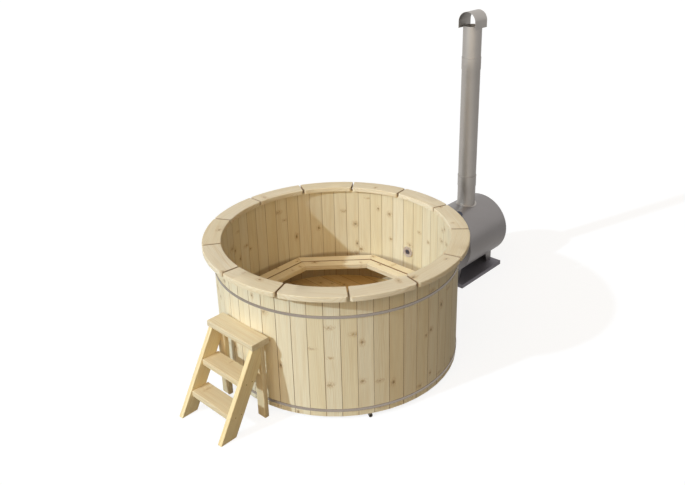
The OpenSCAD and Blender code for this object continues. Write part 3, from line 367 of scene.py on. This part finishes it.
spruceLook = {
    # colours: boards between pale and golden, late wood, the smudge round a knot, the knot, the joint
    "pale": "#F4EBD2", "golden": "#EFE2C1", "deep": "#DCC497", "halo": "#C4A372", "knot": "#73522F",
    "seam": "#7C4A1E",
    "seamWidth": 2.6 * mm,      # the dark line on each side of a joint
    "seamForce": (0.55, 0.95),
    # knots: one chance per cell, across and along the board; the shift is in cells per board number; the
    # same draw makes a knot wide and short or narrow and long
    "knotCell": (100 * mm, 150 * mm), "knotShare": 0.62, "knotScatter": 0.85, "knotShift": 17.3,
    "knotRadius": (7.5 * mm, 14 * mm), "knotWide": (1.7, 0.75), "knotTall": (0.6, 1.5),
    "knotForce": (0.15, 0.8),
    "knotCore": 0.2, "haloReach": 3.4,     # in knot radii
    "uneven": 10 * mm, "unevenPerCell": 9.0,
    "smudge": 0.75, "smudgeRange": (0.35, 0.6),
    # grain: the sizes are across the board, along it and into it
    "boardShift": 9.0,          # metres, at most, between two boards' places in the pattern
    "driftSize": (111.1 * mm, 909 * mm, 111.1 * mm), "ringDrift": 90 * mm, "ringTilt": 0.35,
    "ringWidth": 8.5 * mm,      # real rings are 2 to 4 mm apart; drawn wider so that they show
    "lateNarrow": 3.0, "late": 0.34, "lateHeight": 0.6,
    "streakSize": (25 * mm, 500 * mm, 25 * mm), "streak": 0.36, "streakRange": (0.42, 0.72),
    # real fibres are about 0.03 mm wide; drawn wider so that they show
    "fibreSize": (3.333 * mm, 111.1 * mm, 3.333 * mm), "fibreTone": (1.03, 0.95), "fibreRange": (0.3, 0.7),
    "bump": 0.35, "bumpDepth": 0.4 * mm, "rough": (0.54, 0.68), "gloss": 0.3, "ior": 1.45,
}
ladderTone = {"pale": "#E9DDC0", "golden": "#E4D2AC", "deep": "#CDAD78", "seamWidth": 1 * mm}

# numbers of boards in a full round, as in the part's source
staveCount, rimCount, benchCount = 52, 13, 8

# Where the boards lie: "staves" and "ring" are side by side round the tub's axis, upright or flat, each
# "step" degrees wide, the first one's middle at "first". "row" is side by side along the axis "side", each
# "step" metres wide, shifted by "start" of a board, after a turn of "lean" degrees about Y; "across",
# "along" and "depth" name its axes, and "local" is the place from the board's middle. A knot's centre
# stays within "keep" of "middle", measured across the board.
woods = {
    "spruceStavesPlaned": {
        "pieces": ["staves", "ported_stave"],
        "kind": "staves", "step": 360 / staveCount, "middle": 0.0, "keep": 36 * mm, "seed": 3.0,
        # the inner face's darker tone and its dark below the bench are painted shade
        "innerFrom": (870 * mm, 862 * mm), "innerSeam": 0.7, "innerPaintedShade": 0.945,
        "paintedShadeBelow": (385 * mm, 360 * mm), "dark": 0.45,
    },
    "spruceRimPlaned": {
        "pieces": [name for name in nodes if name.startswith("rim_board")],
        "kind": "ring", "step": 360 / rimCount, "first": 360 / staveCount + 180 / rimCount,
        "middle": 900 * mm, "keep": 35 * mm, "seed": 61.0, "seamWidth": 9.5 * mm,
        "pale": "#F2E8D2", "golden": "#EEE1C4",
    },
    "spruceBenchPlaned": {
        "pieces": ["bench_outer_planks", "bench_inner_planks"],
        "kind": "ring", "step": 360 / benchCount, "middle": 700 * mm, "keep": 200 * mm, "seed": 111.0,
        "split": 703.6 * mm, "rowGap": 4.5 * mm, "rowNumbers": 20.0, "seamWidth": 3.5 * mm,
        "pale": "#F0E5CB", "golden": "#EBDDBB", "deep": "#D8BD8D",
    },
    "spruceBracketPlaned": {
        "pieces": ["bench_brackets"],
        "kind": "ring", "step": 360 / benchCount, "first": 180 / benchCount,
        "middle": 790 * mm, "keep": 30 * mm, "seed": 191.0,
    },
    "spruceFloorPlaned": {   # a deeper gold than the other boards
        "pieces": ["floor_boards"],
        "kind": "row", "side": "X", "step": 123.91 * mm, "start": 0.5, "across": "local", "along": "Y",
        "depth": "Z", "middle": 0.0, "keep": 40 * mm, "seed": 151.0,
        "pale": "#E6CFA0", "golden": "#DDBE82", "deep": "#C49A5C",
    },
    "spruceBearerSawn": {   # left as sawn, so matt
        "pieces": ["bearers"],
        "kind": "row", "side": "Y", "step": 400 * mm, "across": "local", "along": "X", "depth": "Z",
        "middle": 0.0, "keep": 20 * mm, "seed": 171.0, "rough": (0.69, 0.83),
    },
    "spruceStringerPlaned": {
        **ladderTone,
        "pieces": ["left_stringer", "right_stringer"],
        "kind": "row", "lean": -29, "side": "Y", "step": 200 * mm, "across": "X", "along": "Z",
        "depth": "Y", "middle": -1120 * mm, "keep": 30 * mm, "seed": 211.0,
        "knotCell": (140 * mm, 300 * mm), "knotRadius": (9 * mm, 15 * mm), "knotForce": (0.5, 1.0),
        "pale": "#F8EBC6", "golden": "#F3E0AE", "deep": "#E0BF82",
    },
    "spruceTreadPlaned": {
        **ladderTone,
        "pieces": ["top_tread", "middle_tread", "lower_tread"],
        "kind": "row", "side": "Z", "step": 200 * mm, "across": "X", "along": "Y", "depth": "Z",
        "stagger": 105 * mm,   # each tread lies this much further in than the one below it
        "middle": -1283.5 * mm, "keep": 45 * mm, "seed": 231.0,
    },
    "spruceLegPlaned": {
        **ladderTone,
        "pieces": ["rear_legs"],
        "kind": "row", "side": "Y", "step": 390 * mm, "start": 0.5, "across": "local", "along": "Z",
        "depth": "X", "middle": 0.0, "keep": 20 * mm, "seed": 251.0,
    },
}
for name, look in woods.items():
    dress(look["pieces"], spruce(name, {**spruceLook, **look}))
print("spruce boards dressed")


# metals, rubber, plastic, iron and fibre
def skin(name, look):
    # Two tints mixed by a soft cloud. A noise stretched to the grain's sizes in x, y and z sets the
    # roughness between two values, and a shallow bump.
    material, tree = newMaterial(name)
    place = addNode(tree, "ShaderNodeTexCoord").outputs["Object"]
    scaled = addNode(tree, "ShaderNodeVectorMath", {0: place, 1: perMetre(look["grain"])},
                     operation="MULTIPLY")
    grain = addNode(tree, "ShaderNodeTexNoise", {"Vector": scaled, "Scale": 1.0, "Detail": 2.0})
    cloud = addNode(tree, "ShaderNodeTexNoise",
                    {"Vector": place, "Scale": 1 / look["cloud"], "Detail": look["cloudDetail"]})
    tint = addNode(tree, "ShaderNodeMix",
                   {"Factor": cloud, "A": linear(look["light"]), "B": linear(look["dark"])},
                   data_type="RGBA").outputs["Result"]
    low, high = look["grainRange"]
    least, most = look["rough"]
    rough = addNode(tree, "ShaderNodeMapRange", {"Value": grain, "From Min": low, "From Max": high,
                    "To Min": least, "To Max": most})
    bump = addNode(tree, "ShaderNodeBump",
                   {"Strength": look["bump"], "Distance": look["bumpDepth"], "Height": grain})
    shader = addNode(tree, "ShaderNodeBsdfPrincipled",
                     {"Base Color": tint, "Roughness": rough, "Normal": bump, **look["shader"]})
    addNode(tree, "ShaderNodeOutputMaterial", {0: shader})
    return material


# Rolling, drawing and turning leave lines 0.05 to 0.2 mm apart. They are drawn 1.4 to 3.3 mm apart, so
# that they show.
metalLook = {
    "shader": {"Metallic": 1.0}, "cloudDetail": 4.0, "grainRange": (0.25, 0.75), "bumpDepth": 0.2 * mm,
}
metals = {
    "stainlessSteelRolledPipe": {   # lines round the pipe draw its soft grey sheen out up the chimney
        "pieces": ["lower_flue", "flue_flange", "middle_flue", "upper_flue", "cowl"],
        "light": "#B0ABA6", "dark": "#A49F9A", "cloud": 200 * mm,
        "grain": (33.3 * mm, 33.3 * mm, 1.43 * mm), "rough": (0.45, 0.53), "bump": 0.04,
    },
    "stainlessSteelRolledSheet": {   # mid grey, with lines round the heater
        "pieces": ["heater_shell", "near_end_plate", "far_end_plate", "heater_feet"],
        "light": "#8C8887", "dark": "#827E7C", "cloud": 250 * mm,
        "grain": (2 * mm, 25 * mm, 25 * mm), "rough": (0.38, 0.46), "bump": 0.06,
    },
    "stainlessSteelRolledStrap": {   # dull and warm grey, with lines along the strap
        "pieces": ["bands"],
        "light": "#A59B90", "dark": "#918880", "cloud": 33.3 * mm,
        "grain": (16.7 * mm, 16.7 * mm, 1.43 * mm), "rough": (0.4, 0.5), "bump": 0.1,
    },
    "stainlessSteelTurned": {   # bright and even, with soft highlights
        "pieces": ["port_fittings", "port_nuts"],
        "light": "#EFEBF4", "dark": "#DCD7E0", "cloud": 50 * mm,
        "grain": (2.5 * mm,) * 3, "rough": (0.4, 0.5), "bump": 0.05,
    },
    "stainlessSteelDrawnTube": {   # bright, with lines along the tube
        "pieces": ["water_pipes"],
        "light": "#E4E0E6", "dark": "#D2CDD4", "cloud": 111 * mm,
        "grain": (50 * mm, 2.22 * mm, 2.22 * mm), "rough": (0.36, 0.46), "bump": 0.05,
    },
    "stainlessSteelBrightFastener": {   # small clear highlights
        "pieces": ["band_bolts", "sleeve_clamps", "hinge_pins"],
        "light": "#C4C2BE", "dark": "#AAA8A2", "cloud": 11.1 * mm,
        "grain": (3.33 * mm,) * 3, "rough": (0.25, 0.4), "bump": 0.1,
    },
    "yellowZincPlatedSteel": {   # straw yellow, with small clear highlights
        "pieces": ["ladder_screws"],
        "light": "#C9AE78", "dark": "#AE925C", "cloud": 11.1 * mm,
        "grain": (3.33 * mm,) * 3, "rough": (0.3, 0.45), "bump": 0.1,
    },
    "stainlessSteelPressedDoor": {   # smoother than the shell, with upright lines
        "pieces": ["door_frame", "fire_door", "door_latch", "latch_keeper", "air_damper"],
        "light": "#A29C97", "dark": "#8F8985", "cloud": 143 * mm,
        "grain": (25 * mm, 1.67 * mm, 25 * mm), "rough": (0.3, 0.4), "bump": 0.06,
    },
    "hotRolledSteelSooted": {   # dark and nearly matt, in patches of soot
        "pieces": ["firebox", "flue_throat"],
        "light": "#7D7772", "dark": "#5F5A56", "cloud": 71.4 * mm,
        "grain": (11.1 * mm,) * 3, "rough": (0.5, 0.7), "bump": 0.2,
    },
    "mildSteelFolded": {   # dark grey mill skin, nearly matt
        "pieces": ["heater_base"],
        "light": "#78757A", "dark": "#6A676C", "cloud": 125 * mm,
        "grain": (16.7 * mm, 2 * mm, 16.7 * mm), "rough": (0.55, 0.65), "bump": 0.12,
    },
}
for name, look in metals.items():
    dress(look["pieces"], skin(name, {**metalLook, **look}))
print("metals dressed")

# The casting's real grit is about 0.5 mm, and the moulds' grain about 0.1 mm. Both are drawn 0.8 to 1.5 mm
# wide, so that they show.
coatingLook = {"cloud": 111 * mm, "cloudDetail": 3.0, "grainRange": (0.0, 1.0), "bumpDepth": 0.4 * mm}
coatings = {
    "castIronGrate": {   # near black and matt, with the grit of its sand mould
        "pieces": ["grate"],
        "light": "#3B3836", "dark": "#2A2725", "grain": (1.5 * mm,) * 3, "rough": (0.65, 0.75),
        "bump": 0.5, "shader": {"IOR": 1.5},
    },
    "epdmRubberMoulded": {   # black, with a soft dull sheen
        "pieces": ["port_gaskets", "pipe_sleeves"],
        "light": "#2B2B2C", "dark": "#202021", "grain": (1 * mm,) * 3, "rough": (0.55, 0.65),
        "bump": 0.2, "shader": {"IOR": 1.5},
    },
    "polypropyleneMoulded": {   # mid grey and slightly waxy
        "pieces": ["drain_fitting", "drain_nut", "drain_plug", "drain_pipe"],
        "light": "#6C6A68", "dark": "#5E5C5A", "grain": (0.8 * mm,) * 3, "rough": (0.4, 0.5),
        "bump": 0.15, "shader": {"IOR": 1.49},
    },
    "enamelledSteelVentCap": {   # dark blue grey and half matt, with a faint orange-peel skin
        "pieces": ["air_vent"],
        "light": "#3F4860", "dark": "#333B52", "grain": (0.8 * mm,) * 3, "rough": (0.45, 0.55),
        "bump": 0.15, "shader": {"IOR": 1.5},
    },
    "glassFibreRopeSeal": {   # off-white and matt, with 3 mm strands
        "pieces": ["door_seal"],
        "light": "#C9C3B6", "dark": "#ADA698", "grain": (3 * mm,) * 3, "rough": (0.8, 0.9),
        "bump": 0.8, "shader": {"IOR": 1.5},
    },
}
for name, look in coatings.items():
    dress(look["pieces"], skin(name, {**coatingLook, **look}))
print("coatings dressed")


# floor, light and background
studio = {
    # azimuths and heights in degrees; the key stands where the photograph's sharp light comes from
    "lamps": {
        "keySun": {"azimuth": 162.5, "height": 31.5, "angle": 1.6, "strength": 2.08, "colour": "#D8EFFF"},
        "sideFill": {"azimuth": 200, "height": 25, "angle": 90, "strength": 1.62, "colour": "#FFEAC6"},
        "topFill": {"azimuth": 180, "height": 70, "angle": 90, "strength": 0.68, "colour": "#FFE6CD"},
    },
    "lampDistance": 12,
    "skyHorizon": "#8C8072", "skyOverhead": "#FFECD2", "skyStrength": 0.13,
    "floorColour": "#7E8084", "floorGlow": 0.86, "floorSize": 80, "floorLines": 9, "floorDrop": 0.5 * mm,
    # in reflections the floor's glow falls to flagShare between these distances towards flagAzimuth
    "flagAzimuth": -46, "flagReach": (0.0, 3.0), "flagShare": 0.45,
}


def makeFloor(look):
    # One flat square grid of evenly spaced x and y, with a plain matt grey skin. The camera, reflections and
    # see-through rays see it glow, and it lights nothing. In reflections the glow fades towards the flag's
    # side, so that round metal gets a light and a dark side.
    half, count = look["floorSize"] / 2, look["floorLines"]
    line = np.linspace(-half, half, count)
    x, y = np.meshgrid(line, line, indexing="ij")
    points = np.stack([x.ravel(), y.ravel(), np.full(count * count, -look["floorDrop"])], 1)
    i, j = np.meshgrid(np.arange(count - 1), np.arange(count - 1), indexing="ij")
    first = (i * count + j).ravel()
    faces = np.stack([first, first + count, first + count + 1, first + 1], 1)
    mesh = bpy.data.meshes.new("studioFloor")
    mesh.from_pydata(points.tolist(), [], faces.tolist())
    item = bpy.data.objects.new("studioFloor", mesh)
    bpy.context.collection.objects.link(item)
    material, tree = newMaterial("studioFloorMatt")
    rays = addNode(tree, "ShaderNodeLightPath").outputs
    place = addNode(tree, "ShaderNodeTexCoord").outputs["Object"]
    turn = math.radians(look["flagAzimuth"])
    towards = (math.cos(turn), math.sin(turn), 0)
    side = addNode(tree, "ShaderNodeVectorMath", {0: place, 1: towards},
                   operation="DOT_PRODUCT").outputs["Value"]
    near, far = look["flagReach"]
    flag = addNode(tree, "ShaderNodeMapRange", {"Value": side, "From Min": near, "From Max": far,
                   "To Min": 1.0, "To Max": look["flagShare"]})
    seen = addNode(tree, "ShaderNodeMath", {0: rays["Is Glossy Ray"], 1: flag}, operation="MULTIPLY")
    for ray in ("Is Camera Ray", "Is Transmission Ray"):
        seen = addNode(tree, "ShaderNodeMath", {0: seen, 1: rays[ray]}, operation="MAXIMUM")
    glow = addNode(tree, "ShaderNodeMath", {0: seen, 1: look["floorGlow"]}, operation="MULTIPLY")
    matt = addNode(tree, "ShaderNodeBsdfDiffuse", {"Color": linear(look["floorColour"])})
    lamp = addNode(tree, "ShaderNodeEmission", {"Color": (1, 1, 1, 1), "Strength": glow})
    both = addNode(tree, "ShaderNodeAddShader", {0: matt, 1: lamp})
    addNode(tree, "ShaderNodeOutputMaterial", {0: both})
    mesh.materials.append(material)


def makeLight(look):
    # A sharp sun, two wide soft fills, and a faint sky between horizon and overhead colour by the ray's
    # height. The camera, reflections and see-through rays get plain white instead of that sky.
    for name, here in look["lamps"].items():
        lamp = bpy.data.lights.new(name, "SUN")
        lamp.energy = here["strength"]
        lamp.angle = math.radians(here["angle"])
        lamp.color = linear(here["colour"])[:3]
        item = bpy.data.objects.new(name, lamp)
        azimuth, height = math.radians(here["azimuth"]), math.radians(here["height"])
        level = math.cos(height)
        toSun = Vector((math.cos(azimuth) * level, math.sin(azimuth) * level, math.sin(height)))
        item.rotation_mode = "QUATERNION"
        item.rotation_quaternion = toSun.to_track_quat("Z", "Y")
        item.location = toSun * look["lampDistance"]
        bpy.context.collection.objects.link(item)
    world = bpy.data.worlds.new("studioSky")
    bpy.context.scene.world = world
    world.use_nodes = True
    tree = world.node_tree
    tree.nodes.clear()
    rays = addNode(tree, "ShaderNodeLightPath").outputs
    seen = rays["Is Camera Ray"]
    for ray in ("Is Glossy Ray", "Is Transmission Ray"):
        seen = addNode(tree, "ShaderNodeMath", {0: seen, 1: rays[ray]}, operation="MAXIMUM")
    place = addNode(tree, "ShaderNodeTexCoord").outputs["Object"]
    rise = addNode(tree, "ShaderNodeSeparateXYZ", {0: place}).outputs["Z"]
    rise = addNode(tree, "ShaderNodeClamp", {0: rise})
    tint = addNode(tree, "ShaderNodeMix",
                   {"Factor": rise, "A": linear(look["skyHorizon"]), "B": linear(look["skyOverhead"])},
                   data_type="RGBA").outputs["Result"]
    soft = addNode(tree, "ShaderNodeBackground", {"Color": tint, "Strength": look["skyStrength"]})
    white = addNode(tree, "ShaderNodeBackground", {"Color": (1, 1, 1, 1), "Strength": 1.0})
    mixed = addNode(tree, "ShaderNodeMixShader", {0: seen, 1: soft, 2: white})
    addNode(tree, "ShaderNodeOutputWorld", {0: mixed})


makeFloor(studio)
makeLight(studio)
bpy.context.scene.view_settings.view_transform = "Standard"
print("floor and light made")
